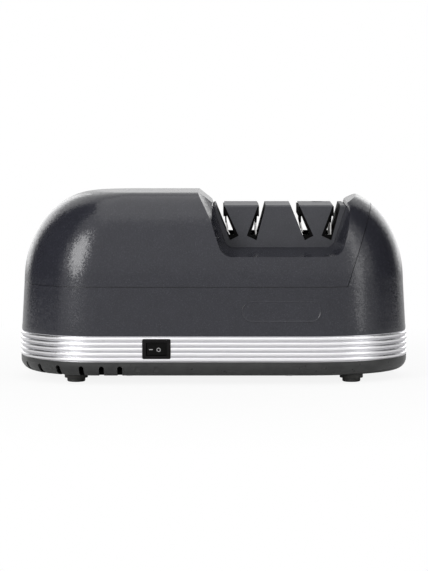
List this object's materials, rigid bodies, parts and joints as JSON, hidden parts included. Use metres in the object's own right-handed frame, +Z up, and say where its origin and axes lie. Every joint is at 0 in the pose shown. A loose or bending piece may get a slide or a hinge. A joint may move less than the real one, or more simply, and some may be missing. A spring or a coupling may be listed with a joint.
{
  "type": "electric knife sharpener",
  "caption": "Countertop electric knife sharpener with a dark domed body, a silver ridged band, slanted blade slots in a top pocket and a rocker switch on the front.",
  "frame": {"origin": "centre of the footprint on the resting surface", "axes": "+X to the sharpening slots' end, seen from the switch side; +Y to the back; +Z up"},
  "size_m": [0.21, 0.0906, 0.101],
  "materials": {
    "body_plastic": "satin pearl",
    "base_plastic": "satin",
    "trim_silver": "bright silver",
    "black_plastic": "satin",
    "rubber": "matt",
    "nylon": "natural",
    "lamination_steel": "pressed sheets",
    "copper_winding": "enamelled copper wire",
    "die_cast": "as cast",
    "bronze": "sintered",
    "zinc_steel": "zinc plated",
    "ground_steel": "ground",
    "spring_steel": "rolled",
    "brass_terminal": "bright",
    "lead_sheath": "smooth",
    "coarse_abrasive": "coarse grit",
    "fine_abrasive": "fine grit"
  },
  "bodies": {
    "base": {"lower_housing": "body_plastic", "base_tray": "base_plastic", "trim_band": "trim_silver", "switch_body": "black_plastic", "stator_core": "lamination_steel", "bobbin": "nylon", "motor_winding": "copper_winding", "motor_bracket_front": "die_cast", "motor_bracket_rear": "die_cast", "motor_bearing_front": "bronze", "motor_bearing_rear": "bronze", "outboard_bearing": "bronze", "motor_bolts": "zinc_steel", "motor_screws": "zinc_steel", "outboard_screws": "zinc_steel", "base_screws": "zinc_steel", "outboard_bracket": "die_cast", "dust_baffle": "nylon", "switch_terminals": "brass_terminal", "terminal_block": "nylon", "cord_gland": "rubber", "switch_lead_feed": "lead_sheath", "switch_lead_motor": "lead_sheath", "motor_lead": "lead_sheath", "foot_front_left": "rubber", "foot_back_left": "rubber", "foot_front_right": "rubber", "foot_back_right": "rubber"},
    "cover": {"upper_cover": "body_plastic", "guide_block": "body_plastic", "block_screws": "zinc_steel", "spring_holder_coarse_left": "black_plastic", "spring_holder_coarse_right": "black_plastic", "spring_holder_fine_left": "black_plastic", "spring_holder_fine_right": "black_plastic"},
    "drive": {"drive_shaft": "ground_steel", "coarse_wheel_left": "coarse_abrasive", "coarse_wheel_right": "coarse_abrasive", "fine_wheel_left": "fine_abrasive", "fine_wheel_right": "fine_abrasive", "coarse_wheel_washer": "zinc_steel", "fine_wheel_washer": "zinc_steel", "wheel_spacer": "ground_steel", "shaft_nut": "zinc_steel", "cooling_fan": "nylon", "rotor": "lamination_steel"},
    "rocker": {"switch_rocker": "black_plastic"},
    "leaf_coarse_left": {"leaf_spring_coarse_left": "spring_steel"},
    "leaf_coarse_right": {"leaf_spring_coarse_right": "spring_steel"},
    "leaf_fine_left": {"leaf_spring_fine_left": "spring_steel"},
    "leaf_fine_right": {"leaf_spring_fine_right": "spring_steel"}
  },
  "joints": [
    {"name": "cover_lift", "type": "slide", "parent": "base", "child": "cover", "axis": [0, 0, 1], "range_m": [0, 0.06]},
    {"name": "drive_spin", "type": "hinge", "parent": "base", "child": "drive", "pos_m": [0, 0, 0.058], "axis": [1, 0, 0], "continuous": true},
    {"name": "power_switch", "type": "hinge", "parent": "base", "child": "rocker", "pos_m": [-0.0304, -0.0417, 0.0191], "axis": [0, 0, -1], "range_deg": [0, 14]},
    {"name": "leaf_coarse_left_flex", "type": "hinge", "parent": "cover", "child": "leaf_coarse_left", "pos_m": [0.00645, 0, 0.0884], "axis": [0, -1, 0], "range_deg": [0, 8], "stiffness_Nm_per_rad": 0.02},
    {"name": "leaf_coarse_right_flex", "type": "hinge", "parent": "cover", "child": "leaf_coarse_right", "pos_m": [0.02295, 0, 0.0884], "axis": [0, 1, 0], "range_deg": [0, 8], "stiffness_Nm_per_rad": 0.02},
    {"name": "leaf_fine_left_flex", "type": "hinge", "parent": "cover", "child": "leaf_fine_left", "pos_m": [0.04655, 0, 0.0884], "axis": [0, -1, 0], "range_deg": [0, 8], "stiffness_Nm_per_rad": 0.02},
    {"name": "leaf_fine_right_flex", "type": "hinge", "parent": "cover", "child": "leaf_fine_right", "pos_m": [0.06305, 0, 0.0884], "axis": [0, 1, 0], "range_deg": [0, 8], "stiffness_Nm_per_rad": 0.02}
  ]
}
